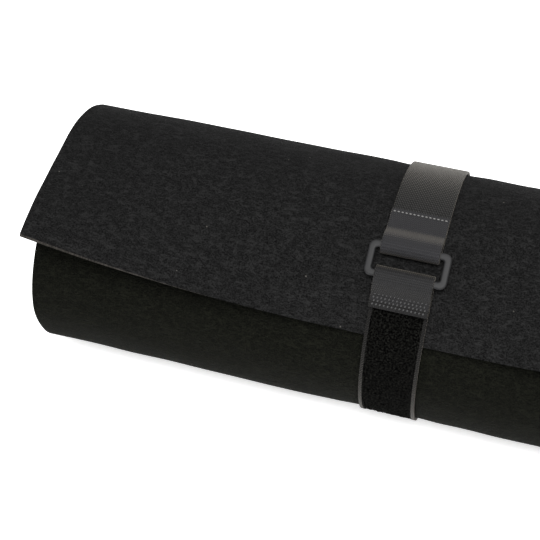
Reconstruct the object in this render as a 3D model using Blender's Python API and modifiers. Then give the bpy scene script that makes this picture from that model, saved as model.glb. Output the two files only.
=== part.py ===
"""Felt brush roll case, rolled up, with its cinch strap closed.

One long felt sheet carries a row of sewn brush pockets on its inner face. It is rolled towards the
front with the bare flap outermost, and a strap round its middle holds it: woven webbing comes over
the top to a plastic ring, and a loop tape comes up the front, through the ring and back on itself.

X runs along the roll, -Y is the front and Z is up. The roll rests on z = 0. A place on the sheet
is its turn, in degrees: 0 is the front, 90 the top, 180 the back, 270 the bottom, and from 360 on
the sheet runs inside itself. The sheet bends at straight hinge lines, one rigid panel after another.
"""
import math

import bmesh
import bpy
from mathutils import Matrix, Vector

# ---- driving dimensions, in metres and degrees ----
CASE_LENGTH = 0.326        # along the roll
ROLL_RADIUS = 0.056        # outer face of the rolled felt
SIDE_SWELL = 1.02          # the roll is a little wider than it is high
REST_FLATTENING = 0.0030   # how far the roll's own weight presses its bottom up
REST_CORNER = 0.030        # radius where the flat bottom turns up into the sides
FELT = 0.0020              # outer sheet
POCKET_FELT = 0.0012       # thinner felt of the pockets
POCKET_DEPTH = 0.0080      # room inside a pocket, across the felt
POCKET_LENGTH = 0.200      # along the roll, open at its left end
POCKET_SHUT = 0.018        # stretch over which a pocket closes to its sewn bottom
POCKET_HEM = 0.010         # bare felt past the pockets' sewn bottoms
SIDE_SHARE = 0.3           # most of a pocket's width that one slanted side takes
SEAM_WIDTH = 0.0030        # flat felt beside each row of pocket stitches
SEAM_RISE = 0.0070         # width of a pocket's slanted side
LAYER_GAP = 0.0015         # air between one turn and the next
TOUCH_GAP = 0.0003         # between pieces that lie on each other
SEAM_GAP = 0.0006          # between a pocket's seam and the sheet
HINGE_GAP = 0.0004         # between neighbouring panels
FLAP_EDGE = 22.5           # turn of the flap's free edge
FLAP_ROOT = 86.0           # turn where the flap leaves the roll
FLAP_PRESSED = 0.016       # half-length that the strap presses flat
FLAP_LIFT = 1.0            # share of its curve that the flap has lost at its two ends
FLAP_LIFT_POWER = 1.05     # how quickly it loses that curve on the way there
DROP_START = 350.0         # turn where the sheet starts to pass inside the outer turn
DROP_END = FLAP_ROOT + 360
BASE_HALF_ANGLE = 20.0     # bottom panel, each side of straight down
BACK_PANELS = 4
FRONT_PANELS = 11
FRONT_PANEL_ANGLE = 45.0
STRAP_WIDTH = 0.025
WEBBING = 0.0015           # woven webbing
LOOP_TAPE = 0.0020         # loop tape with its pile
TAIL = 0.0014              # plain and hook-backed end of the loop tape
HOOKS = 0.0008             # hook patch under the tail
CINCH = 0.0008             # how far the strap pulls the felt in
CINCH_MARGIN = 0.0015      # felt pressed flat beside the strap
CINCH_FADE = 0.018         # distance over which the felt comes out again
CINCH_EASE_START = 30.0    # degrees from straight down where the bottom's deeper cinch ends
CINCH_EASE = 35.0          # degrees over which it eases to CINCH
RING_TURN = 56.0           # turn of the ring's middle
RING_BAR = 0.0030
RING_OPENING = 0.0094      # between its two bars
RING_SIDE_GAP = 0.0020     # between a strap's edge and the ring's side
RING_THICKNESS = 0.0024
RING_CORNER = 0.0030
RING_INNER_CORNER = 0.0010
FOLD_DESCENT = 0.0070      # length over which a folded end comes down from its bar
RING_EDGE = 0.0003         # bevel of the ring's long edges
WEBBING_RISE = 2.0         # degrees before its bar where the webbing leaves the roll
TAPE_RISE = 4.0            # the same for the loop tape
STITCH_TURN = 77.9         # stitch row of the webbing's folded end
STRAP_JOIN = 263.0         # turn where the webbing ends and the loop tape starts, under the roll
TAIL_END = 36.7            # turn of the tail's cut end
HOOK_START = 44.5          # turn where the hook patch starts
STITCH_PITCH = 0.0017
STITCH_HEIGHT = 0.0003     # how far the thread dips between stitches
THREAD = 0.0005
STITCH_MARGIN = 0.0015     # from a strap's edge to its nearest stitches
WELD = 0.00001             # distance under which a curve's doubled points are merged

SHEET_RADIUS = ROLL_RADIUS - FELT / 2
REST_HEIGHT = ROLL_RADIUS - REST_FLATTENING
REST_RADIUS = REST_HEIGHT - FELT / 2
LAYER_PITCH = FELT + SEAM_GAP + POCKET_FELT + POCKET_DEPTH + LAYER_GAP
BOTTOM_CINCH = TOUCH_GAP + LOOP_TAPE
RING_WIDTH = STRAP_WIDTH + 2 * (RING_SIDE_GAP + RING_BAR)
RING_LENGTH = RING_OPENING + 2 * RING_BAR
POCKET_OFFSET = FELT / 2 + SEAM_GAP + POCKET_FELT / 2
HALF = CASE_LENGTH / 2
HALF_STRAP = STRAP_WIDTH / 2
ARC_STEPS = 7
BASE_START = 270 - BASE_HALF_ANGLE
BASE_END = 270 + BASE_HALF_ANGLE


def smooth(value):
    value = min(max(value, 0.0), 1.0)
    return value * value * (3 - 2 * value)


def outline(turn):
    """Distance of the sheet from the roll's centre, as a share of its radius: 1 but at the flat bottom."""
    off = abs((turn - 270 + 180) % 360 - 180)
    reach = SHEET_RADIUS - REST_CORNER
    corner = math.degrees(math.acos((REST_RADIUS - REST_CORNER) / reach))
    flat_end = math.degrees(math.atan2(reach * math.sin(math.radians(corner)), REST_RADIUS))
    if off < flat_end:
        return REST_RADIUS / math.cos(math.radians(off)) / SHEET_RADIUS
    if off < corner:
        gap = math.radians(corner - off)
        across = reach * math.sin(gap)
        return (reach * math.cos(gap) + math.sqrt(REST_CORNER**2 - across**2)) / SHEET_RADIUS
    return 1.0


def pull(turn, x):
    """How far the strap pulls the felt in: evenly all round, and enough at the bottom to lie flush."""
    off = abs((turn - 270 + 180) % 360 - 180)
    depth = BOTTOM_CINCH + (CINCH - BOTTOM_CINCH) * smooth((off - CINCH_EASE_START) / CINCH_EASE)
    return depth * (1 - smooth((abs(x) - HALF_STRAP - CINCH_MARGIN) / CINCH_FADE))


def middle(turn, x, inside):
    """Middle of the felt at a turn, as (y, z). With inside, the sheet drops in turn by turn."""
    drops = sum(smooth((turn - DROP_START - 360 * n) / (DROP_END - DROP_START)) for n in range(3))
    radius = SHEET_RADIUS - LAYER_PITCH * drops * inside
    radius = radius * outline(turn) - pull(turn, x)
    angle = math.radians(turn)
    return Vector((-radius * SIDE_SWELL * math.cos(angle), REST_HEIGHT + radius * math.sin(angle)))


def frame_at(turn, x, inside=True):
    """Point in the middle of the felt, the way along the sheet, and the way out, as (y, z) vectors."""
    step = 0.05
    point = middle(turn, x, inside)
    along = (middle(turn + step, x, inside) - middle(turn - step, x, inside)).normalized()
    return point, along, Vector((-along.y, along.x))


def place(turn, x, out=0.0, inside=True):
    """World position at a turn and a distance out from the middle of the felt."""
    point, _, outward = frame_at(turn, x, inside)
    point = point + outward * out
    return Vector((x, point.x, point.y))


def flap_place(turn, x):
    """World position in the middle of the flap, which straightens towards its two ends."""
    start, along, outward = frame_at(FLAP_ROOT, x)
    away = max(abs(x) - FLAP_PRESSED, 0) / (HALF - FLAP_PRESSED)
    curve = (1 - FLAP_LIFT * away**FLAP_LIFT_POWER) / SHEET_RADIUS
    length = SHEET_RADIUS * math.radians(FLAP_ROOT - turn)
    bend = curve * length
    if bend > 1e-6:
        forward, inward = math.sin(bend) / curve, (1 - math.cos(bend)) / curve
    else:
        forward, inward = length, 0.0
    point = start - along * forward - outward * inward
    return Vector((x, point.x, point.y))


def material(name, colour, roughness):
    made = bpy.data.materials.new(name)
    made.use_nodes = True
    shader = made.node_tree.nodes["Principled BSDF"]
    shader.inputs["Base Color"].default_value = (*colour, 1)
    shader.inputs["Roughness"].default_value = roughness
    shader.inputs["Metallic"].default_value = 0.0
    return made


def finish(obj, look, body):
    """Give a finished object its own material and hang it on its body's empty."""
    obj.data.materials.clear()
    obj.data.materials.append(material(f"{obj.name} {look[0]}", *look[1:]))
    case.objects.link(obj)
    obj.parent = bodies[body]
    obj.matrix_parent_inverse = Matrix.Translation(-bodies[body].location)
    return obj


def shell(name, rows, columns, spot, thickness, look, body):
    """A sheet over a grid of two parameters, thickened by Solidify to both sides."""
    mesh = bpy.data.meshes.new(name)
    made = bmesh.new()
    bmesh.ops.create_grid(made, x_segments=len(rows) - 1, y_segments=len(columns) - 1, size=0.5)
    for vertex in made.verts:
        row = round((vertex.co.x + 0.5) * (len(rows) - 1))
        column = round((vertex.co.y + 0.5) * (len(columns) - 1))
        vertex.co = spot(rows[row], columns[column])
    made.to_mesh(mesh)
    made.free()
    obj = bpy.data.objects.new(name, mesh)
    thick = obj.modifiers.new("thickness", "SOLIDIFY")
    thick.thickness = thickness
    thick.offset = 0
    thick.use_even_offset = True
    return finish(obj, look, body)


def steps(start, end, count):
    return [start + (end - start) * n / count for n in range(count + 1)]


def degrees_of(length, radius=ROLL_RADIUS):
    return math.degrees(length / radius)


def hinge_place(turn):
    """Hinge line of the sheet: on its outer face, so that the panels part as they open."""
    spot = place(turn, HALF, FELT / 2)
    return Vector((0, spot.y, spot.z))


def body(name, parent=None, at=(0, 0, 0)):
    """An empty on the body's joint axis."""
    made = bpy.data.objects.new(f"{name}_axis", None)
    made.location = at
    case.objects.link(made)
    if parent:
        made.parent = bodies[parent]
        made.matrix_parent_inverse = Matrix.Translation(-bodies[parent].location)
    bodies[name] = made


for leftover in list(bpy.data.objects):
    bpy.data.objects.remove(leftover, do_unlink=True)
case = bpy.data.collections.new("brush_roll_case")
bpy.context.scene.collection.children.link(case)
bodies = {}

FELT_LOOK = ("charcoal felt", (0.017, 0.017, 0.017), 0.95)
POCKET_LOOK = ("black felt", (0.012, 0.012, 0.012), 0.95)
WEBBING_LOOK = ("woven webbing", (0.03, 0.03, 0.03), 0.6)
LOOP_LOOK = ("loop pile", (0.005, 0.005, 0.005), 0.95)
TAIL_LOOK = ("plain tape", (0.035, 0.035, 0.036), 0.6)
HOOK_LOOK = ("hook tape", (0.02, 0.02, 0.02), 0.5)
RING_LOOK = ("moulded plastic", (0.03, 0.03, 0.03), 0.4)
THREAD_LOOK = ("grey thread", (0.2, 0.2, 0.2), 0.6)

# ---- panels of the felt sheet: name, parent, first turn, last turn, hinge turn ----
back_angle = (BASE_START - FLAP_ROOT) / BACK_PANELS
panels = [("base", None, BASE_START, BASE_END, None)]
for n in range(BACK_PANELS):
    high = BASE_START - n * back_angle
    parent = f"back_{n}" if n else "base"
    panels.append((f"back_{n + 1}", parent, high - back_angle, high, high))
for n in range(FRONT_PANELS):
    low = BASE_END + n * FRONT_PANEL_ANGLE
    parent = f"roll_{n}" if n else "base"
    panels.append((f"roll_{n + 1}", parent, low, low + FRONT_PANEL_ANGLE, low))
panels.append(("flap", f"back_{BACK_PANELS}", FLAP_EDGE, FLAP_ROOT, FLAP_ROOT))

shoulder = HALF_STRAP + CINCH_MARGIN
felt_stations = steps(shoulder, shoulder + CINCH_FADE, 3) + steps(shoulder + CINCH_FADE, HALF, 3)[1:]
felt_stations = [-x for x in reversed(felt_stations)] + felt_stations

for name, parent, low, high, hinge in panels:
    body(name, parent, hinge_place(hinge) if hinge else (0, 0, 0))
    low_gap = 0 if name == "flap" else degrees_of(HINGE_GAP / 2)
    turns = steps(low + low_gap, high - degrees_of(HINGE_GAP / 2), ARC_STEPS)
    spot = flap_place if name == "flap" else place
    shell(f"sheet_{name}", turns, felt_stations, spot, FELT, FELT_LOOK, name)

# ---- pockets, one on each panel but the flap and the innermost ----
pocket_right = HALF - POCKET_HEM
pocket_left = pocket_right - POCKET_LENGTH
pocket_stations = [pocket_left] + [x for x in felt_stations if pocket_left < x < pocket_right - POCKET_SHUT]
pocket_stations += [pocket_right - POCKET_SHUT, pocket_right - POCKET_SHUT / 3, pocket_right]


def pocket_turns(low, high):
    """Turns across a pocket: both sewn seams, both slanted sides and the flat top."""
    seam = degrees_of(SEAM_WIDTH, SHEET_RADIUS * outline(low))
    rise = min(degrees_of(SEAM_RISE), (high - low) * SIDE_SHARE)
    low += degrees_of(HINGE_GAP / 2)
    high -= degrees_of(HINGE_GAP / 2)
    top = steps(low + seam + rise, high - seam - rise, 3)
    return [low, low + seam] + top + [high - seam, high]


def pocket_spot(low, high):
    """Surface of the pocket between two turns."""
    turns = pocket_turns(low, high)

    def spot(turn, x):
        lift = smooth((turn - turns[1]) / (turns[2] - turns[1]))
        lift = min(lift, smooth((turns[-2] - turn) / (turns[-2] - turns[-3])))
        open_share = smooth((pocket_right - x) / POCKET_SHUT)
        return place(turn, x, -POCKET_OFFSET - POCKET_DEPTH * lift * open_share)

    return turns, spot


for name, _, low, high, _ in panels[:-1]:
    if name == f"roll_{FRONT_PANELS}":
        continue
    turns, spot = pocket_spot(low, high)
    shell(f"pocket_{name}", turns, pocket_stations, spot, POCKET_FELT, POCKET_LOOK, name)


# ---- strap ----
def strap_gap(thickness):
    """Half the gap that two strap pieces need at a hinge line that opens by a panel's angle."""
    proud = TOUCH_GAP + thickness
    return degrees_of(proud * math.tan(math.radians(FRONT_PANEL_ANGLE / 2)) + HINGE_GAP / 2)


def ribbon(name, path, thickness, look, body_name):
    """A flat strap piece along a path of (turn, distance out from the felt's outer face)."""
    def spot(step, side):
        turn, out = path[step]
        point = place(turn, 0, FELT / 2 + out, inside=False)
        return Vector((side * HALF_STRAP, point.y, point.z))

    return shell(name, list(range(len(path))), (-1, 1), spot, thickness, look, body_name)


def lying(low, high, thickness, count=12):
    return [(turn, TOUCH_GAP + thickness / 2) for turn in steps(low, high, count)]


bar_reach = math.hypot(RING_BAR, RING_THICKNESS) / 2 + TOUCH_GAP
bar_out = TOUCH_GAP + max(WEBBING, LOOP_TAPE, TAIL) + bar_reach
bar_half_turn = math.degrees(math.asin((RING_LENGTH - RING_BAR) / 2 / (ROLL_RADIUS + bar_out)))
upper_bar = RING_TURN + bar_half_turn
lower_bar = RING_TURN - bar_half_turn


def round_bar(bar_turn, thickness, way, count=8):
    """Half turn round a bar of the ring, from the felt's side to the outer side; way is +1 or -1."""
    reach = bar_reach + thickness / 2
    path = []
    for angle in steps(-90, 90, count):
        along = reach * math.cos(math.radians(angle)) * way
        out = bar_out + reach * math.sin(math.radians(angle))
        path.append((bar_turn + degrees_of(along, ROLL_RADIUS + out), out))
    return path


def outer_leg(start, end, thickness, lie_out, count=8):
    """From the outer side of a bar down to where the folded end lies on the strap under it."""
    high_out = bar_out + bar_reach + thickness / 2
    path = []
    for turn in steps(start, end, count):
        past_bar = math.radians(abs(turn - start)) * ROLL_RADIUS - RING_BAR / 2
        path.append((turn, high_out + (lie_out - high_out) * smooth(past_bar / FOLD_DESCENT)))
    return path


web_gap, loop_gap = strap_gap(WEBBING), strap_gap(LOOP_TAPE)
join_gap = degrees_of(HINGE_GAP / 2)
ribbon("webbing_base", lying(BASE_START + web_gap, STRAP_JOIN - join_gap, WEBBING), WEBBING, WEBBING_LOOK, "base")
for name, _, low, high, _ in panels[1:1 + BACK_PANELS]:
    ribbon(f"webbing_{name}", lying(low + web_gap, high - web_gap, WEBBING), WEBBING, WEBBING_LOOK, name)

web_lie_out = TOUCH_GAP + WEBBING + TOUCH_GAP + WEBBING / 2
stitch_end = STITCH_TURN + degrees_of(STITCH_MARGIN)
ring_loop = lying(FLAP_ROOT - web_gap, upper_bar + WEBBING_RISE, WEBBING)
ring_loop += round_bar(upper_bar, WEBBING, -1)
ring_loop += outer_leg(upper_bar, stitch_end, WEBBING, web_lie_out)[1:]
ribbon("webbing_ring_loop", ring_loop, WEBBING, WEBBING_LOOK, "flap")

ribbon("loop_tape_base", lying(STRAP_JOIN + join_gap, BASE_END - loop_gap, LOOP_TAPE), LOOP_TAPE, LOOP_LOOK, "base")
for name, _, low, high, _ in panels[1 + BACK_PANELS:3 + BACK_PANELS]:
    ribbon(f"loop_tape_{name}", lying(low + loop_gap, high - loop_gap, LOOP_TAPE), LOOP_TAPE, LOOP_LOOK, name)

tape_hinge = BASE_END + 2 * FRONT_PANEL_ANGLE - 360
strap_end_at = place(tape_hinge, 0, FELT / 2 + TOUCH_GAP + LOOP_TAPE, inside=False)
body("strap_end", "roll_2", (0, strap_end_at.y, strap_end_at.z))
fold_gap = degrees_of(HINGE_GAP)
fold = round_bar(lower_bar, TAIL, 1)
tape_lie = lying(tape_hinge + loop_gap, lower_bar - TAPE_RISE, LOOP_TAPE)
tape_top_out = fold[0][1]
ribbon("loop_tape_end", tape_lie + [(lower_bar - fold_gap, max(tape_top_out, tape_lie[0][1]))],
       LOOP_TAPE, LOOP_LOOK, "strap_end")
ribbon("tail_fold", fold, TAIL, TAIL_LOOK, "strap_end")

tail_lie_out = TOUCH_GAP + LOOP_TAPE + TOUCH_GAP + HOOKS + TOUCH_GAP + TAIL / 2
tail_leg = outer_leg(lower_bar - fold_gap, TAIL_END, TAIL, tail_lie_out)
tail_axis = place(lower_bar, 0, FELT / 2 + tail_leg[0][1] + TAIL / 2, inside=False)
body("tail", "strap_end", (0, tail_axis.y, tail_axis.z))
ribbon("tail_tab", tail_leg, TAIL, TAIL_LOOK, "tail")
hook_out = tail_lie_out - TAIL / 2 - TOUCH_GAP - HOOKS / 2
hook_path = [(turn, hook_out) for turn in steps(HOOK_START, TAIL_END, 3)]
ribbon("hook_patch", hook_path, HOOKS, HOOK_LOOK, "tail")

# ---- ring: a flat rectangle with round corners, on the chord between its two bars ----
upper_at = place(upper_bar, 0, FELT / 2 + bar_out, inside=False)
lower_at = place(lower_bar, 0, FELT / 2 + bar_out, inside=False)
ring_up = (upper_at - lower_at).normalized()
ring_out = Vector((1, 0, 0)).cross(ring_up)
body("ring", "flap", (0, upper_at.y, upper_at.z))


def round_rectangle(curve, width, height, corner):
    """Add a closed outline with an arc at each corner."""
    points = []
    for quarter, (side_x, side_y) in enumerate(((1, 1), (-1, 1), (-1, -1), (1, -1))):
        centre = (side_x * (width / 2 - corner), side_y * (height / 2 - corner))
        for angle in steps(quarter * 90, quarter * 90 + 90, 4):
            turned = math.radians(angle)
            points.append((centre[0] + corner * math.cos(turned), centre[1] + corner * math.sin(turned)))
    spline = curve.splines.new("POLY")
    spline.points.add(len(points) - 1)
    for point, (x, y) in zip(spline.points, points):
        point.co = (x, y, 0, 1)
    spline.use_cyclic_u = True


ring_curve = bpy.data.curves.new("ring", "CURVE")
ring_curve.dimensions = "2D"
ring_curve.fill_mode = "BOTH"
ring_curve.extrude = RING_THICKNESS / 2
round_rectangle(ring_curve, RING_WIDTH, RING_LENGTH, RING_CORNER)
round_rectangle(ring_curve, RING_WIDTH - 2 * RING_BAR, RING_LENGTH - 2 * RING_BAR, RING_INNER_CORNER)
ring_guide = bpy.data.objects.new("ring_outline", ring_curve)
case.objects.link(ring_guide)
bpy.context.view_layer.update()
ring_mesh = bpy.data.meshes.new_from_object(ring_guide.evaluated_get(bpy.context.evaluated_depsgraph_get()))
bpy.data.objects.remove(ring_guide, do_unlink=True)
welded = bmesh.new()
welded.from_mesh(ring_mesh)
bmesh.ops.remove_doubles(welded, verts=welded.verts, dist=WELD)
bmesh.ops.recalc_face_normals(welded, faces=welded.faces)
axes = Matrix((Vector((1, 0, 0)), ring_up, ring_out)).transposed().to_4x4()
bmesh.ops.transform(welded, matrix=Matrix.Translation((upper_at + lower_at) / 2) @ axes, verts=welded.verts)
welded.to_mesh(ring_mesh)
welded.free()
ring = bpy.data.objects.new("ring", ring_mesh)
edge = ring.modifiers.new("rounded edges", "BEVEL")
edge.width = RING_EDGE
edge.segments = 1
edge.limit_method = "ANGLE"
finish(ring, RING_LOOK, "ring")


# ---- thread that shows: the top thread of each stitch row, which dips at every stitch ----
def stitch_row(name, turn, out, body_name):
    """One thread across the strap at a turn, rising and dipping once a stitch."""
    curve = bpy.data.curves.new(name, "CURVE")
    curve.dimensions = "3D"
    curve.bevel_depth = THREAD / 2
    curve.bevel_resolution = 0
    curve.use_fill_caps = True
    count = 2 * round((STRAP_WIDTH - 2 * STITCH_MARGIN) / STITCH_PITCH) + 1
    spline = curve.splines.new("POLY")
    spline.points.add(count - 1)
    for n, point in enumerate(spline.points):
        x = (n - (count - 1) / 2) * STITCH_PITCH / 2
        raised = TOUCH_GAP + THREAD / 2 + STITCH_HEIGHT * (n % 2)
        point.co = (*place(turn, 0, FELT / 2 + out + raised, inside=False), 1)
        point.co.x = x
    guide = bpy.data.objects.new(f"{name}_route", curve)
    case.objects.link(guide)
    bpy.context.view_layer.update()
    mesh = bpy.data.meshes.new_from_object(guide.evaluated_get(bpy.context.evaluated_depsgraph_get()))
    bpy.data.objects.remove(guide, do_unlink=True)
    tube = bmesh.new()
    tube.from_mesh(mesh)
    bmesh.ops.remove_doubles(tube, verts=tube.verts, dist=WELD)
    tube.to_mesh(mesh)
    tube.free()
    mesh.name = name
    finish(bpy.data.objects.new(name, mesh), THREAD_LOOK, body_name)


stitch_row("ring_loop_stitches", STITCH_TURN, web_lie_out + WEBBING / 2, "flap")
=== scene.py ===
"""A felt brush roll case, rolled up and held by a hook-and-loop cinch strap with a plastic ring."""
import functools
import math

import bmesh
import bpy
import numpy as np
from mathutils import Matrix, Vector, noise


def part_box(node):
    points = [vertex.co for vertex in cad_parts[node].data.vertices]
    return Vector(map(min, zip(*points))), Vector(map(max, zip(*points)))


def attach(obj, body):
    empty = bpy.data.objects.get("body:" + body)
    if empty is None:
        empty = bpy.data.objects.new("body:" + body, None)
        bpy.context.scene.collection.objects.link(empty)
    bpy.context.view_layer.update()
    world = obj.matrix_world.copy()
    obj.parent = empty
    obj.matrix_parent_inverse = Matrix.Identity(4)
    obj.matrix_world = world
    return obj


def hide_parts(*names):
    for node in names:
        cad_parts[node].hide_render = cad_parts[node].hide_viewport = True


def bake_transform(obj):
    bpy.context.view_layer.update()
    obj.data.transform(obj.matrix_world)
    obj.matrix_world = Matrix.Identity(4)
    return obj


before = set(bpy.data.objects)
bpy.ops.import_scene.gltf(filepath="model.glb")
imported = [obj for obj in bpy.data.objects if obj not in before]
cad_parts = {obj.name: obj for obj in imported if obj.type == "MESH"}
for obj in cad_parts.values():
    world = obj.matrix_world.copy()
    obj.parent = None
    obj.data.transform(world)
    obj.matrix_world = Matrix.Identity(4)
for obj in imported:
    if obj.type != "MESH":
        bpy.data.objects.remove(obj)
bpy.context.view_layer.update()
MM = 0.001

# ---- camera: looking down on the roll's left half and its strap ----
view_target = Vector((-69.9, 0.0, 46.1)) * MM
view_azimuth = math.radians(16.8)
view_elevation = math.radians(45.34)
view_distance = 629 * MM
view_lens = 88.8
sensor_width = 36.0

camera_data = bpy.data.cameras.new("camera")
camera_data.lens = view_lens
camera_data.sensor_width = sensor_width
camera_data.clip_start = 0.01
camera = bpy.data.objects.new("camera", camera_data)
toward_camera = Vector((math.sin(view_azimuth) * math.cos(view_elevation),
                        -math.cos(view_azimuth) * math.cos(view_elevation),
                        math.sin(view_elevation)))
camera.location = view_target + toward_camera * view_distance
camera.rotation_euler = toward_camera.to_track_quat("Z", "Y").to_euler()
bpy.context.scene.collection.objects.link(camera)
bpy.context.scene.camera = camera

# ---- outer felt sheet ----
# One long sheet of needled polyester felt, 2 mm thick, cut with a blade. It is rolled towards the
# front, and its bare end lies over the roll as a flap that springs up at its two ends.
felt_thick = 2.0 * MM
roll_radius = 56.0 * MM
side_swell = 1.02
rest_height = 53.0 * MM
rest_corner = 30.0 * MM
strap_width = 25.0 * MM
touch_gap = 0.3 * MM
loop_thick = 2.0 * MM
cinch = 0.3 * MM
cinch_margin = 1.0 * MM
cinch_fade = 10.0 * MM
flap_edge = 22.5
flap_root = 86.0
flap_pressed = 16.0 * MM
flap_lift_power = 1.05
drop_start = 350.0
drop_end = flap_root + 360
layer_pitch = 13.3 * MM
case_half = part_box("sheet_base")[1].x
inner_edge = 785.0
sheet_radius = roll_radius - felt_thick / 2
rest_radius = rest_height - felt_thick / 2


def smooth(value):
    value = min(max(value, 0.0), 1.0)
    return value * value * (3 - 2 * value)


def flat_bottom(turn):
    """Share of the sheet's radius at a turn, in degrees: 0 front, 90 top, 180 back, 270 bottom."""
    off = abs((turn - 90) % 360 - 180)
    reach = sheet_radius - rest_corner
    corner = math.degrees(math.acos((rest_radius - rest_corner) / reach))
    flat_end = math.degrees(math.atan2(reach * math.sin(math.radians(corner)), rest_radius))
    if off < flat_end:
        return rest_radius / math.cos(math.radians(off)) / sheet_radius
    if off < corner:
        gap = math.radians(corner - off)
        return (reach * math.cos(gap) + math.sqrt(rest_corner**2 - (reach * math.sin(gap))**2)) / sheet_radius
    return 1.0


def strap_pull(turn, x):
    """How far the strap draws the felt in."""
    off = abs((turn - 90) % 360 - 180)
    bottom = touch_gap + loop_thick
    depth = bottom + (cinch - bottom) * smooth((off - 16) / 26)
    return depth * (1 - smooth((x - strap_width / 2 - cinch_margin) / cinch_fade))


def felt_middle(turn, x, drops):
    inward = sum(smooth((turn - drop_start - 360 * n) / (drop_end - drop_start)) for n in range(3))
    radius = (sheet_radius - layer_pitch * inward * drops) * flat_bottom(turn) - strap_pull(turn, x)
    angle = math.radians(turn)
    return Vector((-radius * side_swell * math.cos(angle), rest_height + radius * math.sin(angle)))


@functools.lru_cache(maxsize=None)
def frame_beside(turn, x, drops):
    along = (felt_middle(turn + 0.05, x, drops) - felt_middle(turn - 0.05, x, drops)).normalized()
    return felt_middle(turn, x, drops), along, Vector((-along.y, along.x))


def felt_frame(turn, x, drops=True):
    """Middle of the felt, the way along it and the way out of the roll, as (y, z).

    With drops, each turn passes inside the one before."""
    return frame_beside(turn, min(abs(x), strap_width / 2 + cinch_margin + cinch_fade), drops)


def flap_frame(turn, x):
    """The same on the flap, which loses its curve towards its two ends."""
    start, along, outward = felt_frame(flap_root, x)
    away = max(abs(x) - flap_pressed, 0) / (case_half - flap_pressed)
    curve = max(1 - away**flap_lift_power, 1e-4) / sheet_radius
    bend = curve * sheet_radius * math.radians(flap_root - turn)
    point = start - along * math.sin(bend) / curve - outward * (1 - math.cos(bend)) / curve
    bent_along = along * math.cos(bend) + outward * math.sin(bend)
    bent_outward = outward * math.cos(bend) - along * math.sin(bend)
    return point, bent_along, bent_outward


def felt_point(turn, x, out=0.0, drops=True):
    """World position at a turn, a place along the roll and a distance out from the felt's middle."""
    if turn < flap_root and drops:
        point, _, outward = flap_frame(turn, x)
    else:
        point, _, outward = felt_frame(turn, x, drops)
    point = point + outward * out
    return Vector((x, point.x, point.y))


def askew(turn):
    """How far the sheet has crept to the left by a turn, since it wasn't rolled quite straight."""
    return (-2.0 + 4.4 * (1 - math.exp(-(turn - flap_edge) / 50))) * MM


def sheet_point(turn, x, out=0.0):
    """World position of a spot of the sheet, x from its own middle."""
    return felt_point(turn, x - askew(turn), out)


def steps(start, end, count):
    return [start + (end - start) * n / count for n in range(count + 1)]


def spaced(start, end, pitch):
    return steps(start, end, max(1, math.ceil(abs(end - start) / pitch - 1e-6)))


# how far along the sheet each turn lies, so that patterns keep their real size
turn_table = spaced(flap_edge, inner_edge, 0.5)
turn_spots = np.array([felt_point(turn, 0.1) for turn in turn_table])
turn_lengths = np.append(0, np.cumsum(np.linalg.norm(np.diff(turn_spots, axis=0), axis=1)))


@functools.lru_cache(maxsize=None)
def length_at(turn):
    return float(np.interp(turn, turn_table, turn_lengths))


def cloth(name, rows, columns, spot, chart, thickness, looks, look_at=None, rounding=0.0,
          rim_look=0):
    """A closed cloth: spot gives each point's place, and chart its place on the flat cloth, in metres.

    look_at gives the number of the look for a (row, column) of the flat cloth."""
    made = bmesh.new()
    charts = made.loops.layers.uv.new("flat")
    bmesh.ops.create_grid(made, x_segments=len(rows) - 1, y_segments=len(columns) - 1, size=0.5)
    flat = {}
    for vertex in made.verts:
        row = rows[round((vertex.co.x + 0.5) * (len(rows) - 1))]
        column = columns[round((vertex.co.y + 0.5) * (len(columns) - 1))]
        flat[vertex] = chart(row, column)
        vertex.co = spot(row, column)
    for face in made.faces:
        face.smooth = True
        if look_at:
            spots = [flat[v] for v in face.verts]
            face.material_index = look_at(sum(u for u, _ in spots) / 4, sum(v for _, v in spots) / 4)
        for loop in face.loops:
            loop[charts].uv = flat[loop.vert]
    rough = bpy.data.meshes.new(name)
    made.to_mesh(rough)
    made.free()
    for look in looks:
        rough.materials.append(look)
    guide = bpy.data.objects.new(name, rough)
    bpy.context.scene.collection.objects.link(guide)
    wall = guide.modifiers.new("thickness", "SOLIDIFY")
    wall.thickness = thickness
    wall.offset = 0
    wall.use_even_offset = True
    wall.material_offset_rim = rim_look
    mesh = bpy.data.meshes.new_from_object(guide.evaluated_get(bpy.context.evaluated_depsgraph_get()))
    bpy.data.objects.remove(guide)
    if rounding:
        made = bmesh.new()
        made.from_mesh(mesh)
        sides = [e for e in made.edges if e.calc_face_angle(0) > math.radians(50)
                 and all(abs(abs(v.co.x) - columns[-1]) < 0.01 * MM for v in e.verts)
                 and e.calc_length() < thickness * 0.9]
        bmesh.ops.bevel(made, geom=sides, offset=rounding, offset_type="OFFSET", affect="EDGES", segments=2,
                        profile=0.5, material=-1)
        for face in made.faces:
            face.smooth = True
        made.to_mesh(mesh)
        made.free()
    mesh.set_sharp_from_angle(angle=math.radians(50))
    piece = bpy.data.objects.new(name, mesh)
    bpy.context.scene.collection.objects.link(piece)
    return piece


def linear(code):
    """A linear colour with alpha from an sRGB hex code."""
    parts = [int(code[n:n + 2], 16) / 255 for n in (1, 3, 5)]
    return [c / 12.92 if c <= 0.04045 else ((c + 0.055) / 1.055) ** 2.4 for c in parts] + [1.0]


def add(tree, kind, links=None, settings=None, **values):
    """Add a node: links gives sockets' (node, output), settings its properties, values sockets' numbers."""
    node = tree.nodes.new(kind)
    for key, value in (settings or {}).items():
        setattr(node, key, value)
    for key, value in values.items():
        node.inputs[int(key[1:]) if key[1:].isdigit() else key.replace("_", " ")].default_value = value
    for key, (source, output) in (links or {}).items():
        tree.links.new(source.outputs[output], node.inputs[key])
    return node


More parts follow.
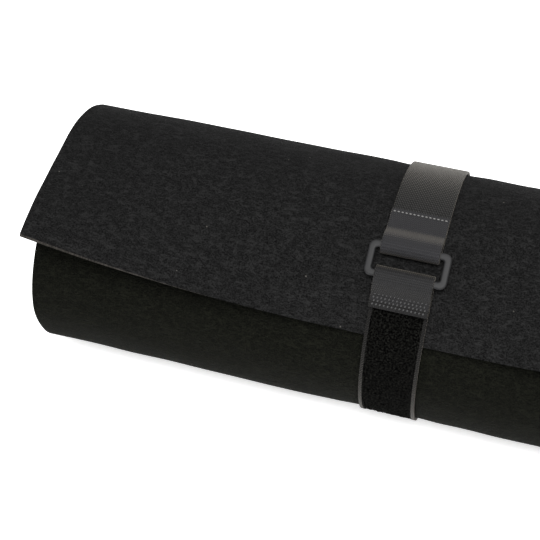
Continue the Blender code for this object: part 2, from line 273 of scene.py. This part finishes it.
def start_material(name, roughness, specular):
    made = bpy.data.materials.new(name)
    made.use_nodes = True
    shader = made.node_tree.nodes["Principled BSDF"]
    shader.inputs["Roughness"].default_value = roughness
    shader.inputs["Specular IOR Level"].default_value = specular
    return made, made.node_tree, shader


def felt_material(name, dark, light, lint, painted_shade_tint=None):
    """Needled polyester felt: matt, a mat of short curled fibres, thin and thick patches, some lint.

    Given a shade tint, the colour is multiplied by it from 0.13 to 0.20 m along the sheet onwards: painted
    shade for the roll's body, which lies under the flap."""
    made, tree, shader = start_material(name, 0.95, 0.05)
    chart = add(tree, "ShaderNodeUVMap", settings={"uv_map": "flat"})
    patches = add(tree, "ShaderNodeTexNoise", {"Vector": (chart, "UV")},
                  Scale=420.0, Detail=4.0, Roughness=0.7)
    grain = add(tree, "ShaderNodeTexNoise", {"Vector": (chart, "UV")},
                Scale=1500.0, Detail=2.0, Roughness=0.7)
    mat = None
    for number, size in enumerate((150.0, 210.0, 290.0)):
        turned = add(tree, "ShaderNodeMapping", {"Vector": (chart, "UV")}, Location=(number * 3.1, 0, 0),
                     Rotation=(0, 0, number * 1.1), Scale=(1, 2.2, 1))
        curls = add(tree, "ShaderNodeTexNoise", {"Vector": (turned, "Vector")}, Scale=size, Detail=1.0)
        off = add(tree, "ShaderNodeMath", {0: (curls, 0)}, {"operation": "SUBTRACT"}, i1=0.5)
        away = add(tree, "ShaderNodeMath", {0: (off, 0)}, {"operation": "ABSOLUTE"})
        fibre = add(tree, "ShaderNodeMapRange", {"Value": (away, 0)}, From_Min=0.045, From_Max=0.0)
        if mat:
            mat = add(tree, "ShaderNodeMath", {0: (mat, 0), 1: (fibre, 0)}, {"operation": "MAXIMUM"})
        else:
            mat = fibre
    fuzz = add(tree, "ShaderNodeMath", {0: (mat, 0), 1: (grain, 0)}, {"operation": "MULTIPLY"})
    tone = add(tree, "ShaderNodeMix", {"A": (patches, 0), "B": (grain, 0)}, Factor=0.7)
    share = add(tree, "ShaderNodeMapRange", {"Value": (tone, 0)}, From_Min=0.42, From_Max=0.66)
    hairy = add(tree, "ShaderNodeMath", {0: (fuzz, 0), 1: (share, 0)}, {"operation": "ADD"})
    body = add(tree, "ShaderNodeMix", {"Factor": (hairy, 0)}, {"data_type": "RGBA", "clamp_factor": True})
    body.inputs[6].default_value = linear(dark)
    body.inputs[7].default_value = linear(light)
    specks = add(tree, "ShaderNodeTexVoronoi", {"Vector": (chart, "UV")}, Scale=240.0)
    near = add(tree, "ShaderNodeMapRange", {"Value": (specks, "Distance")}, From_Min=0.10, From_Max=0.05)
    chosen = add(tree, "ShaderNodeSeparateColor", {"Color": (specks, "Color")})
    few = add(tree, "ShaderNodeMath", {0: (chosen, 0)}, {"operation": "GREATER_THAN"}, i1=0.95)
    lint_share = add(tree, "ShaderNodeMath", {0: (near, 0), 1: (few, 0)}, {"operation": "MULTIPLY"})
    colour = add(tree, "ShaderNodeMix", {"Factor": (lint_share, 0)}, {"data_type": "RGBA"})
    colour.inputs[7].default_value = linear(lint)
    tree.links.new(body.outputs["Result"], colour.inputs[6])
    # painted shade: past the flap and the top, the sheet's colour is multiplied by the shade tint
    if painted_shade_tint:
        place = add(tree, "ShaderNodeSeparateXYZ", {"Vector": (chart, "UV")})
        painted_shade_share = add(tree, "ShaderNodeMapRange", {"Value": (place, "Y")}, From_Min=0.13, From_Max=0.20)
        painted_shade_mix = add(tree, "ShaderNodeMix", {"Factor": (painted_shade_share, 0)}, {"data_type": "RGBA"})
        painted_shade_mix.blend_type = "MULTIPLY"
        painted_shade_mix.inputs[7].default_value = linear(painted_shade_tint)
        tree.links.new(colour.outputs["Result"], painted_shade_mix.inputs[6])
        colour = painted_shade_mix
    tree.links.new(colour.outputs["Result"], shader.inputs["Base Color"])
    height = add(tree, "ShaderNodeMath", {0: (mat, 0), 1: (patches, 0)}, {"operation": "ADD"})
    bump = add(tree, "ShaderNodeBump", {"Height": (height, 0)}, Strength=0.9, Distance=0.4 * MM)
    tree.links.new(bump.outputs["Normal"], shader.inputs["Normal"])
    return made


# the outer felt's last colour, #b1b698, is a painted shade tint that darkens the roll's body under the flap
outer_felt = felt_material("needled polyester felt", "#070707", "#232323", "#55534f", "#b1b698")
# the cut edges get lighter, browner colours than the faces: a painted highlight for the light line along the
# flap's edge
cut_edge_painted_highlight = felt_material("cut edge of the felt with painted highlight", "#151412", "#3a3733", "#6a675f")

# bodies along the sheet from the flap to the inner edge, the hinge lines between them, and the
# places between hinge lines where the visible sheet is divided
sheet_bodies = ["flap"] + [f"back_{n}" for n in (4, 3, 2, 1)] + ["base"] + [f"roll_{n}" for n in range(1, 12)]
hinges = [86.0, 127.0, 168.0, 209.0, 250.0, 290.0] + [335.0 + 45 * n for n in range(10)]
felt_cuts = [110.0, 147.5, 188.5, 229.5, 270.0, 312.5, 370.0] + [402.5 + 45 * n for n in range(9)]
bend_reach = 9.0           # degrees each side of a hinge line
flap_bend_reach = 7.0


def bend(piece, number, out=0.0, drops=True):
    """Bake a cloth's placement into its mesh; the points either side of the hinge line of that number are
    found but not used.
    """
    reach = bend_reach if number else flap_bend_reach
    start = felt_point(hinges[number] - reach, 0, out, drops)
    end = felt_point(hinges[number] + reach, 0, out, drops)
    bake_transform(piece)


def ripple(turn, x):
    """Slow dents and waves of a sheet that has been rolled by hand, none under the strap."""
    spot = Vector((x * 14, length_at(turn) * 22, 0.7))
    calm = smooth((abs(x) - 14 * MM) / (30 * MM))
    return (noise.noise(spot) * 0.8 + noise.noise(spot * 2.9) * 0.4) * MM * calm


along_stations = spaced(-case_half, case_half, 2.0 * MM)
felt_edges = [flap_edge] + felt_cuts + [inner_edge]
for number, (low, high) in enumerate(zip(felt_edges, felt_edges[1:])):
    piece = cloth(f"felt_{number + 1:02d}", spaced(low, high, 1.5), along_stations,
                  lambda turn, x: sheet_point(turn, x, ripple(turn, x)),
                  lambda turn, x: (x, length_at(turn)), felt_thick, [outer_felt, cut_edge_painted_highlight], rim_look=1)
    if number < len(hinges):
        bend(piece, number)
    else:
        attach(piece, sheet_bodies[-1])
    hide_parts(*[f"sheet_{b}" for b in sheet_bodies[number:number + 2]])
    length_at(high) - length_at(low)

# ---- brush pockets ----
# A second, thinner felt lies on the inner face and is sewn to it in rows across the case, which
# leaves a row of pockets, open at their left and shut by a last row of stitches at their right.
pocket_thick = 1.2 * MM
pocket_depth = 8.0 * MM
pocket_offset = felt_thick / 2 + 0.6 * MM + pocket_thick / 2
pocket_shut = 18.0 * MM
seam_width = 3.0 * MM
seam_rise = 7.0 * MM
side_share = 0.3
hinge_gap = 0.4 * MM
pocket_thread = 0.45 * MM
pocket_stitch = 3.0 * MM
pocket_felt = felt_material("thin needled felt", "#0c0c0c", "#181818", "#454340")
thread_look, thread_tree, thread_shader = start_material("spun polyester thread", 0.6, 0.4)
thread_shader.inputs["Base Color"].default_value = linear("#a8a8a6")
pocket_names = ["back_4", "back_3", "back_2", "back_1", "base"] + [f"roll_{n}" for n in range(1, 11)]
panel_edges = {name: (low, high) for name, low, high
               in zip(sheet_bodies[1:], hinges, hinges[1:] + [inner_edge])}


def degrees_of(length, radius=roll_radius):
    return math.degrees(length / radius)


def stitch_row(name, ends, thickness, look):
    """Stitches of one thread, each a short loop laid from its start to its end on the cloth."""
    made = bmesh.new()
    for start, end in ends:
        along = end - start
        turn = along.to_track_quat("X", "Z").to_matrix().to_4x4()
        size = Matrix.Diagonal((along.length / 2, thickness / 2, thickness / 2, 1))
        matrix = Matrix.Translation((start + end) / 2) @ turn @ size
        bmesh.ops.create_uvsphere(made, u_segments=6, v_segments=4, radius=1, matrix=matrix)
    for face in made.faces:
        face.smooth = True
    mesh = bpy.data.meshes.new(name)
    made.to_mesh(mesh)
    made.free()
    mesh.materials.append(look)
    piece = bpy.data.objects.new(name, mesh)
    bpy.context.scene.collection.objects.link(piece)
    return piece


pocket_left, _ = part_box("pocket_base")
_, pocket_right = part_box("pocket_base")
pocket_left, pocket_right = pocket_left.x, pocket_right.x
for name in pocket_names:
    low, high = panel_edges[name]
    seam = degrees_of(seam_width, sheet_radius * flat_bottom(low))
    rise = min(degrees_of(seam_rise), (high - low) * side_share)
    low += degrees_of(hinge_gap / 2)
    high -= degrees_of(hinge_gap / 2)
    sides = [low + seam, low + seam + rise, high - seam - rise, high - seam]

    def pocket_spot(turn, x):
        lift = min(smooth((turn - sides[0]) / (sides[1] - sides[0])),
                   smooth((sides[3] - turn) / (sides[3] - sides[2])))
        shut = smooth((pocket_right - x) / pocket_shut)
        slack = 1 + 0.08 * noise.noise(Vector((x * 30, turn * 0.05, 2.0)))
        return sheet_point(turn, x, -pocket_offset - (pocket_depth - 0.7 * MM) * lift * shut * slack)

    piece = cloth(f"pocket_felt_{name}", spaced(low, high, 1.5), spaced(pocket_left, pocket_right, 2.5 * MM),
                  pocket_spot, lambda turn, x: (x, length_at(turn)), pocket_thick, [pocket_felt])
    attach(piece, name)
    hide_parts(f"pocket_{name}")
    width = length_at(high) - length_at(low)
    stitches = []
    sewn = -pocket_offset - pocket_thick / 2
    for turn in (low + seam * 0.5, high - seam * 0.5):
        for x in spaced(pocket_left + pocket_stitch, pocket_right - pocket_stitch, pocket_stitch):
            stitches.append([sheet_point(turn, x + side * pocket_stitch * 0.37, sewn) for side in (-1, 1)])
    for turn in spaced(low + seam, high - seam, degrees_of(pocket_stitch)):
        half_stitch = degrees_of(pocket_stitch) * 0.37
        stitches.append([sheet_point(turn + side * half_stitch, pocket_right - 1.5 * MM, sewn)
                         for side in (-1, 1)])
    row = stitch_row(f"pocket_stitches_{name}", stitches, pocket_thread, thread_look)
    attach(row, name)

# ---- cinch strap: woven webbing ----
# A 25 mm polypropylene webbing runs up the back and over the top. Its end is folded round the
# ring's upper bar and sewn down on itself with one straight row.
webbing_thick = 1.5 * MM
tail_thick = 1.4 * MM
ring_turn = 56.0
ring_bar = 3.0 * MM
ring_thick = 2.4 * MM
ring_opening = 9.4 * MM
ring_side_gap = 2.0 * MM
ring_corner = 3.0 * MM
fold_descent = 7.0 * MM
stitch_turn = 77.9
stitch_margin = 1.5 * MM
stitch_pitch = 1.7 * MM
strap_join = 263.0
bar_reach = math.hypot(ring_bar, ring_thick) / 2 + touch_gap
bar_out = touch_gap + max(webbing_thick, loop_thick, tail_thick) + bar_reach
bar_half_turn = math.degrees(math.asin((ring_opening + ring_bar) / 2 / (roll_radius + bar_out)))
upper_bar = ring_turn + bar_half_turn
lower_bar = ring_turn - bar_half_turn


def strap_point(turn, x, out):
    """World position on the strap, at a distance out from the felt's outer face."""
    spot = felt_point(turn, 0, felt_thick / 2 + out, drops=False)
    return Vector((x, spot.y, spot.z))


def lying(low, high, thickness, pitch=1.0):
    return [(turn, touch_gap + thickness / 2) for turn in spaced(low, high, pitch)]


def round_bar(bar_turn, thickness, way, count=14):
    """Half turn round a bar of the ring, from the felt's side to the outer side; way is +1 or -1."""
    reach = bar_reach + thickness / 2
    path = []
    for angle in steps(-90, 90, count):
        out = bar_out + reach * math.sin(math.radians(angle))
        along = reach * math.cos(math.radians(angle)) * way
        path.append((bar_turn + degrees_of(along, roll_radius + out), out))
    return path


def outer_leg(start, end, thickness, lie_out, count=26):
    """From the outer side of a bar down to where the folded end lies on the strap under it."""
    high_out = bar_out + bar_reach + thickness / 2
    path = []
    for turn in steps(start, end, count):
        past_bar = math.radians(abs(turn - start)) * roll_radius - ring_bar / 2
        path.append((turn, high_out + (lie_out - high_out) * smooth(past_bar / fold_descent)))
    return path


def ribbon(name, path, thickness, looks, columns=24, look_at=None, rise=None, rounding=0.25 * MM):
    """A strap piece along a path of (turn, distance out). rise gives a height for (x, length along)."""
    lengths = [0.0]
    for before, after in zip(path, path[1:]):
        stretch = strap_point(after[0], 0, after[1]) - strap_point(before[0], 0, before[1])
        lengths.append(lengths[-1] + stretch.length)
    across = steps(-strap_width / 2, strap_width / 2, columns)

    def spot(step, x):
        turn, out = path[step]
        point = strap_point(turn, x, out)
        before, after = path[max(step - 1, 0)], path[min(step + 1, len(path) - 1)]
        way = (strap_point(after[0], 0, after[1]) - strap_point(before[0], 0, before[1])).normalized()
        return point + way.cross(Vector((1, 0, 0))) * (rise(x, lengths[step]) if rise else 0)

    piece = cloth(name, list(range(len(path))), across, spot, lambda step, x: (x, lengths[step]),
                  thickness, looks, look_at, rounding)
    return piece, lengths[-1]



def woven_material(name, dark, light, ribs, shine):
    """Woven polypropylene webbing: slanted twill ribs of flat glossy yarn, with dark gaps between them."""
    made, tree, shader = start_material(name, 0.55, shine)
    shader.inputs["Sheen Weight"].default_value = 0.12
    shader.inputs["Sheen Roughness"].default_value = 0.4
    shader.inputs["Sheen Tint"].default_value = (1.0, 0.9, 0.75, 1.0)
    chart = add(tree, "ShaderNodeUVMap", settings={"uv_map": "flat"})
    slanted = add(tree, "ShaderNodeMapping", {"Vector": (chart, "UV")}, Rotation=(0, 0, math.radians(32)))
    twill = add(tree, "ShaderNodeTexWave", {"Vector": (slanted, "Vector")}, {"bands_direction": "X"},
                Scale=ribs, Distortion=1.2, Detail=1.0, Detail_Scale=1.5)
    picks = add(tree, "ShaderNodeTexWave", {"Vector": (chart, "UV")}, {"bands_direction": "Y"},
                Scale=ribs * 0.8, Distortion=0.6)
    weave = add(tree, "ShaderNodeMath", {0: (twill, 1), 1: (picks, 1)}, {"operation": "MULTIPLY"})
    worn = add(tree, "ShaderNodeTexNoise", {"Vector": (chart, "UV")}, Scale=500.0, Detail=3.0)
    share = add(tree, "ShaderNodeMix", {"A": (weave, 0), "B": (worn, 0)}, Factor=0.35)
    clear = add(tree, "ShaderNodeMapRange", {"Value": (share, 0)}, From_Min=0.1, From_Max=0.7)
    colour = add(tree, "ShaderNodeMix", {"Factor": (clear, 0)}, {"data_type": "RGBA"},
                 A=linear(dark), B=linear(light))
    tree.links.new(colour.outputs["Result"], shader.inputs["Base Color"])
    bump = add(tree, "ShaderNodeBump", {"Height": (weave, 0)}, Strength=0.8, Distance=0.3 * MM)
    tree.links.new(bump.outputs["Normal"], shader.inputs["Normal"])
    return made


webbing_look = woven_material("woven polypropylene webbing", "#080808", "#1e1e1e", 330.0, 0.18)
webbing_back_look = woven_material("smooth back of the webbing", "#18181a", "#242427", 420.0, 0.2)
webbing_cuts = [262.8, 229.5, 188.5, 147.5, 110.0]
for number, (high, low) in enumerate(zip(webbing_cuts, webbing_cuts[1:])):
    path = lying(low, high, webbing_thick)
    piece, length = ribbon(f"webbing_{number + 1}", path, webbing_thick, [webbing_look])
    bend(piece, 4 - number, touch_gap, drops=False)
    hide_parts("webbing_base" if number == 0 else f"webbing_back_{number}")

under_ring = lying(webbing_cuts[-1], upper_bar + 2, webbing_thick)
piece, length = ribbon("webbing_5", under_ring, webbing_thick, [webbing_look])
bend(piece, 0, touch_gap, drops=False)
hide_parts("webbing_back_4")

stitch_end = stitch_turn + degrees_of(stitch_margin)
web_lie_out = touch_gap + webbing_thick + touch_gap + webbing_thick / 2
looped = [under_ring[-1]] + round_bar(upper_bar, webbing_thick, -1)
looped += outer_leg(upper_bar, stitch_end, webbing_thick, web_lie_out)[1:]
piece, length = ribbon("webbing_ring_loop_cloth", looped, webbing_thick, [webbing_back_look])
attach(piece, "flap")
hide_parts("webbing_ring_loop")

stitch_half = stitch_pitch * 0.36
count = round((strap_width - 2 * stitch_margin) / stitch_pitch)
row = []
for n in range(count + 1):
    x = (n - count / 2) * stitch_pitch
    row.append([strap_point(stitch_turn, x + side * stitch_half, web_lie_out + webbing_thick / 2 + 0.12 * MM)
                for side in (-1, 1)])
bright_thread, thread_tree, thread_shader = start_material("light grey polyester thread", 0.5, 0.5)
thread_shader.inputs["Base Color"].default_value = linear("#777775")
piece = stitch_row("ring_loop_seam", row, 0.55 * MM, bright_thread)
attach(piece, "flap")
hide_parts("ring_loop_stitches")

# ---- ring ----
# A flat rectangular ring, moulded in black acetal, with round corners and softly rounded edges.
# The webbing's folded end holds it, and it swivels on its upper bar.
ring_width = strap_width + 2 * (ring_side_gap + ring_bar)
ring_length = ring_opening + 2 * ring_bar
upper_at, lower_at = strap_point(upper_bar, 0, bar_out), strap_point(lower_bar, 0, bar_out)
ring_up = (upper_at - lower_at).normalized()
ring_out = Vector((1, 0, 0)).cross(ring_up)


def corner_loop(made, width, height, corner, arc=7):
    """A closed loop of edges round a rectangle with round corners."""
    points = []
    for quarter, (side_x, side_y) in enumerate(((1, 1), (-1, 1), (-1, -1), (1, -1))):
        for angle in steps(quarter * 90, quarter * 90 + 90, arc):
            turned = math.radians(angle)
            points.append(made.verts.new((side_x * (width / 2 - corner) + corner * math.cos(turned),
                                          side_y * (height / 2 - corner) + corner * math.sin(turned), 0)))
    return [made.edges.new((a, b)) for a, b in zip(points, points[1:] + points[:1])]


made = bmesh.new()
outer_edges = corner_loop(made, ring_width, ring_length, ring_corner)
inner_edges = corner_loop(made, ring_width - 2 * ring_bar, ring_opening, 1.0 * MM)
bmesh.ops.bridge_loops(made, edges=outer_edges + inner_edges)
lifted = bmesh.ops.extrude_face_region(made, geom=made.faces[:])["geom"]
lifted_corners = [v for v in lifted if isinstance(v, bmesh.types.BMVert)]
bmesh.ops.translate(made, verts=lifted_corners, vec=(0, 0, ring_thick))
bmesh.ops.translate(made, verts=made.verts, vec=(0, 0, -ring_thick / 2))
bmesh.ops.recalc_face_normals(made, faces=made.faces)
long_edges = [e for e in made.edges if e.calc_face_angle(0) > math.radians(60)]
bmesh.ops.bevel(made, geom=long_edges, offset=0.75 * MM, offset_type="OFFSET", affect="EDGES", segments=4,
                profile=0.5, material=-1)
turn_ring = Matrix((Vector((1, 0, 0)), ring_up, ring_out)).transposed().to_4x4()
bmesh.ops.transform(made, matrix=Matrix.Translation((upper_at + lower_at) / 2) @ turn_ring, verts=made.verts)
for face in made.faces:
    face.smooth = True
ring_mesh = bpy.data.meshes.new("ring_moulding")
made.to_mesh(ring_mesh)
made.free()
ring_mesh.set_sharp_from_angle(angle=math.radians(50))
ring_piece = bpy.data.objects.new("ring_moulding", ring_mesh)
bpy.context.scene.collection.objects.link(ring_piece)

# Moulded acetal: smooth black with a soft gloss and a faint grain from the mould.
ring_look, ring_tree, ring_shader = start_material("moulded black acetal", 0.6, 0.3)
place = add(ring_tree, "ShaderNodeTexCoord")
mould = add(ring_tree, "ShaderNodeTexNoise", {"Vector": (place, "Object")}, Scale=2600.0, Detail=2.0)
tone = add(ring_tree, "ShaderNodeMix", {"Factor": (mould, 0)}, {"data_type": "RGBA"},
           A=linear("#161617"), B=linear("#232324"))
ring_tree.links.new(tone.outputs["Result"], ring_shader.inputs["Base Color"])
bump = add(ring_tree, "ShaderNodeBump", {"Height": (mould, 0)}, Strength=0.25, Distance=0.1 * MM)
ring_tree.links.new(bump.outputs["Normal"], ring_shader.inputs["Normal"])
ring_mesh.materials.append(ring_look)
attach(ring_piece, "ring")
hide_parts("ring")

# ---- cinch strap: loop tape ----
# Brushed nylon loop tape, sewn to the webbing under the roll. It runs up the front, over the flap's
# edge and through the ring. Its pile is a mat of tiny loops between two flat woven selvedges.
selvedge = 1.5 * MM
pile_height = 0.9 * MM
tape_base = loop_thick - pile_height
pile_look, tree, shader = start_material("brushed nylon loop pile", 0.95, 0.02)
chart = add(tree, "ShaderNodeUVMap", settings={"uv_map": "flat"})
tufts = add(tree, "ShaderNodeTexNoise", {"Vector": (chart, "UV")}, Scale=1150.0, Detail=3.0, Roughness=0.75)
clear = add(tree, "ShaderNodeMapRange", {"Value": (tufts, 0)}, From_Min=0.45, From_Max=0.66)
colour = add(tree, "ShaderNodeMix", {"Factor": (clear, 0)}, {"data_type": "RGBA"},
             A=linear("#000000"), B=linear("#1b1b19"))
tree.links.new(colour.outputs["Result"], shader.inputs["Base Color"])
bump = add(tree, "ShaderNodeBump", {"Height": (tufts, 0)}, Strength=1.0, Distance=0.6 * MM)
tree.links.new(bump.outputs["Normal"], shader.inputs["Normal"])
selvedge_look = woven_material("woven selvedge of the loop tape", "#080808", "#1b1a19", 420.0, 0.1)


def pile_rise(x, along):
    """Height of the pile over the tape's ground, which rises just inside the selvedges."""
    inside = smooth((strap_width / 2 - selvedge - abs(x)) / (0.7 * MM))
    fine = noise.noise(Vector((x * 1500, along * 1500, 3.0)))
    coarse = noise.noise(Vector((x * 500, along * 500, 8.0)))
    return inside * pile_height * (0.5 + 0.55 * fine + 0.3 * coarse)


def tape_look(x, along):
    return 1 if abs(x) > strap_width / 2 - selvedge else 0


tape_cuts = [strap_join + 0.3, 312.5, 357.5, 360 + lower_bar - degrees_of(hinge_gap)]
for number, (low, high) in enumerate(zip(tape_cuts, tape_cuts[1:])):
    path = [(turn, touch_gap + tape_base / 2) for turn in spaced(low, high, 0.36)]
    if number == 2:
        rise_start = high - 4
        top_out = bar_out - bar_reach - tail_thick / 2
        path = [(turn, max(out, touch_gap + tape_base / 2 + (top_out - touch_gap - tape_base / 2)
                           * smooth((turn - rise_start) / 4))) for turn, out in path]
    piece, length = ribbon(f"loop_tape_{number + 1}", path, tape_base, [pile_look, selvedge_look], 72,
                           tape_look, pile_rise, 0)
    hinge = [290.0, 335.0, 380.0][number]
    strap_point(hinge - bend_reach, 0, touch_gap)
    strap_point(hinge + bend_reach, 0, touch_gap)
    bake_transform(piece)
    stood_for = [["loop_tape_base"], ["loop_tape_roll_1"], ["loop_tape_roll_2", "loop_tape_end"]][number]
    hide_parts(*stood_for)

# ---- cinch strap: tail ----
# The tape's end is plain on its outer face. It turns round the ring's lower bar and lies back on
# the pile, where a patch of nylon hooks, sewn through with rows of small stitches, holds it.
hook_thick = 0.8 * MM
hook_start = 44.5
tail_end = 36.7
fold_gap = degrees_of(hinge_gap)
tail_lie_out = touch_gap + loop_thick + touch_gap + hook_thick + touch_gap + tail_thick / 2
tail_look = woven_material("plain face of the tape", "#101011", "#1e1e1f", 420.0, 0.2)
hooked_look = woven_material("back of the hook patch", "#060606", "#101010", 420.0, 0.2)
folded = round_bar(lower_bar, tail_thick, 1)
leg = outer_leg(lower_bar - fold_gap, tail_end, tail_thick, tail_lie_out)
tail_path = folded + leg
hooks_from = sum((strap_point(b[0], 0, b[1]) - strap_point(a[0], 0, a[1])).length
                 for a, b in zip(tail_path, tail_path[1:]) if b[0] > hook_start or b[1] < bar_out)
piece, length = ribbon("tail_cloth", tail_path, tail_thick, [tail_look, hooked_look],
                       look_at=lambda x, along: 1 if along > hooks_from else 0)
crest = bar_out + bar_reach + tail_thick / 2
strap_point(lower_bar, 0, crest)
strap_point(lower_bar - 5.0, 0, crest)
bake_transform(piece)
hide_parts("tail_fold", "tail_tab")

hook_look, tree, shader = start_material("moulded nylon hooks", 0.45, 0.4)
place = add(tree, "ShaderNodeTexCoord")
grain = add(tree, "ShaderNodeTexNoise", {"Vector": (place, "Object")}, Scale=1800.0)
colour = add(tree, "ShaderNodeMix", {"Factor": (grain, 0)}, {"data_type": "RGBA"},
             A=linear("#121212"), B=linear("#2a2a2a"))
tree.links.new(colour.outputs["Result"], shader.inputs["Base Color"])
hook_path = [(turn, tail_lie_out - tail_thick / 2 - touch_gap - hook_thick / 2) for turn in
             spaced(hook_start, tail_end, 0.6)]
piece, length = ribbon("hook_patch_cloth", hook_path, hook_thick, [hook_look])
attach(piece, "tail")
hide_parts("hook_patch")

dots = []
dot_rows, dot_columns = 5, 14
dot_out = tail_lie_out + tail_thick / 2 + 0.05 * MM
dot_pitch = (strap_width - 1.8 * MM) / dot_columns
for row_number in range(dot_rows):
    turn = hook_start - 0.5 - (row_number + 0.2) * (hook_start - tail_end - 1.0) / dot_rows
    for column in range(dot_columns):
        x = (column - (dot_columns - 1) / 2 + 0.25 * (row_number % 2) - 0.12) * dot_pitch
        dots.append([strap_point(turn + side * 0.45, x + side * 0.28 * MM, dot_out) for side in (-1, 1)])
dot_look, tree, shader = start_material("grey nylon thread", 0.5, 0.4)
shader.inputs["Base Color"].default_value = linear("#3a3a3a")
piece = stitch_row("hook_patch_stitches", dots, 0.8 * MM, dot_look)
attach(piece, "tail")

# ---- floor and light ----
# A white floor, an even white sky and two softboxes. The floor lies a little below the case, because
# the curved panels bow under their hinge lines when the case lies open.
floor_drop = 4.5 * MM
floor_mesh = bpy.data.meshes.new("floor")
floor_made = bmesh.new()
bmesh.ops.create_grid(floor_made, x_segments=1, y_segments=1, size=30)
floor_made.to_mesh(floor_mesh)
floor_made.free()
floor = bpy.data.objects.new("floor", floor_mesh)
floor.location.z = -floor_drop
bpy.context.scene.collection.objects.link(floor)
floor_look, floor_tree, floor_shader = start_material("pale floor", 1.0, 0.0)
floor_shader.inputs["Base Color"].default_value = linear("#ffffff")
floor_shader.inputs["Emission Color"].default_value = linear("#ffffff")
floor_shader.inputs["Emission Strength"].default_value = 0.6
floor.data.materials.append(floor_look)

world = bpy.data.worlds.new("studio")
world.use_nodes = True
world.node_tree.nodes["Background"].inputs["Color"].default_value = (1, 1, 1, 1)
world.node_tree.nodes["Background"].inputs["Strength"].default_value = 0.45
bpy.context.scene.world = world
bpy.context.scene.view_settings.view_transform = "Standard"


def softbox(name, spot, aim, size, power):
    data = bpy.data.lights.new(name, "AREA")
    data.shape = "RECTANGLE"
    data.size, data.size_y = size
    data.energy = power
    light = bpy.data.objects.new(name, data)
    light.location = spot
    light.rotation_euler = (Vector(spot) - Vector(aim)).to_track_quat("Z", "Y").to_euler()
    bpy.context.scene.collection.objects.link(light)


softbox("key softbox", (0.1, -0.62, 1.05), (-0.05, 0, 0.05), (0.5, 0.4), 17)
softbox("rear softbox", (0.3, 0.9, 0.7), (0, 0, 0.05), (1.0, 0.4), 5)
